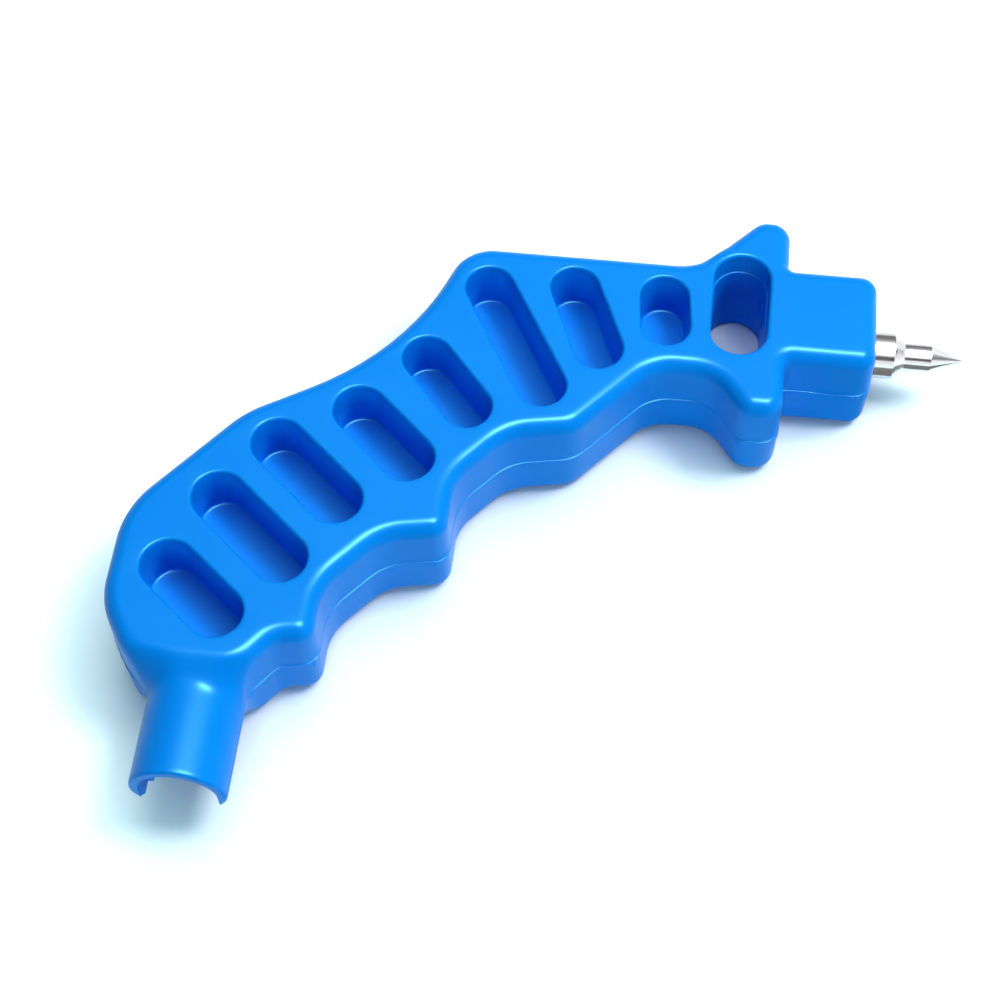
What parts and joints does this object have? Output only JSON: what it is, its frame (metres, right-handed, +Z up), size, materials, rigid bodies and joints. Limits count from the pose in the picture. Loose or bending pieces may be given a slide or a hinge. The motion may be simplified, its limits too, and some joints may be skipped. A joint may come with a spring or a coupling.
{
  "type": "irrigation pipe hole punch",
  "caption": "Hand punch for soft irrigation pipe: moulded finger grip with cored pockets, hanging slot, steel point and a pusher socket.",
  "frame": {"origin": "under the middle of the bounding box, at the underside that the tool lies on", "axes": "+X along the punch towards its point, +Y from the finger side to the back of the hand, +Z up from the side that the tool lies on"},
  "size_m": [0.0982, 0.0818, 0.014],
  "materials": {
    "handle_plastic": "moulded, satin gloss",
    "punch_steel": "turned and polished steel"
  },
  "bodies": {
    "root": {"handle": "handle_plastic", "punch": "punch_steel"}
  },
  "joints": []
}
